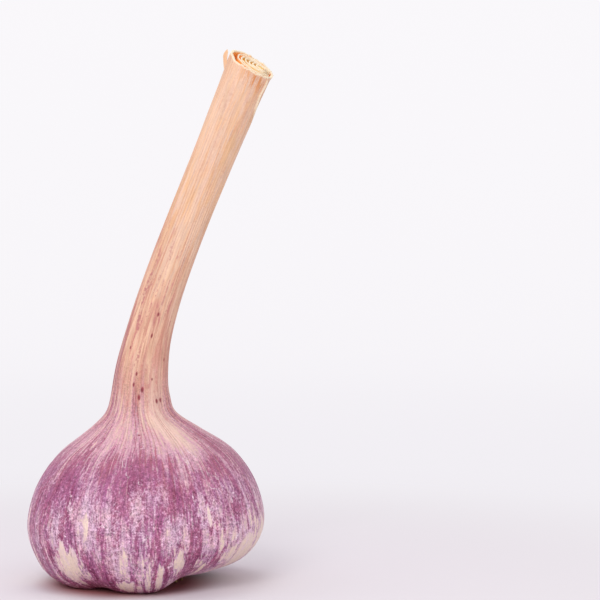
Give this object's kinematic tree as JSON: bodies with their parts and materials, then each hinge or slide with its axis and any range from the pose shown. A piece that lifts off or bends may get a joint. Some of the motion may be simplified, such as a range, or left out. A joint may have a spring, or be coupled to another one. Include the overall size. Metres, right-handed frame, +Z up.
{
  "type": "garlic bulb",
  "caption": "Cured garlic bulb in thin purple-streaked skin, drawn in to a long dry stem that leans to one side and is cut off to show its rolled leaves.",
  "frame": {"origin": "middle of the root plate's flat underside, level with the feet of the cloves that the bulb stands on", "axes": "+Z up, the stem leans towards +X and slightly towards -Y, which is the front"},
  "size_m": [0.0598, 0.0576, 0.1308],
  "materials": {
    "skin": "dry papery leaf skin, cream speckled and streaked purple, fading to tan up the stem",
    "leaf": "matte cut leaf edges, cream",
    "stalk": "matte pith, cream",
    "roots": "rough brown cork with trimmed roots"
  },
  "bodies": {
    "root": {"bulb_and_stem": "skin", "root_plate": "roots", "flower_stalk": "stalk", "leaf_sheath_1": "leaf", "leaf_sheath_2": "leaf", "leaf_sheath_3": "leaf"}
  },
  "joints": []
}
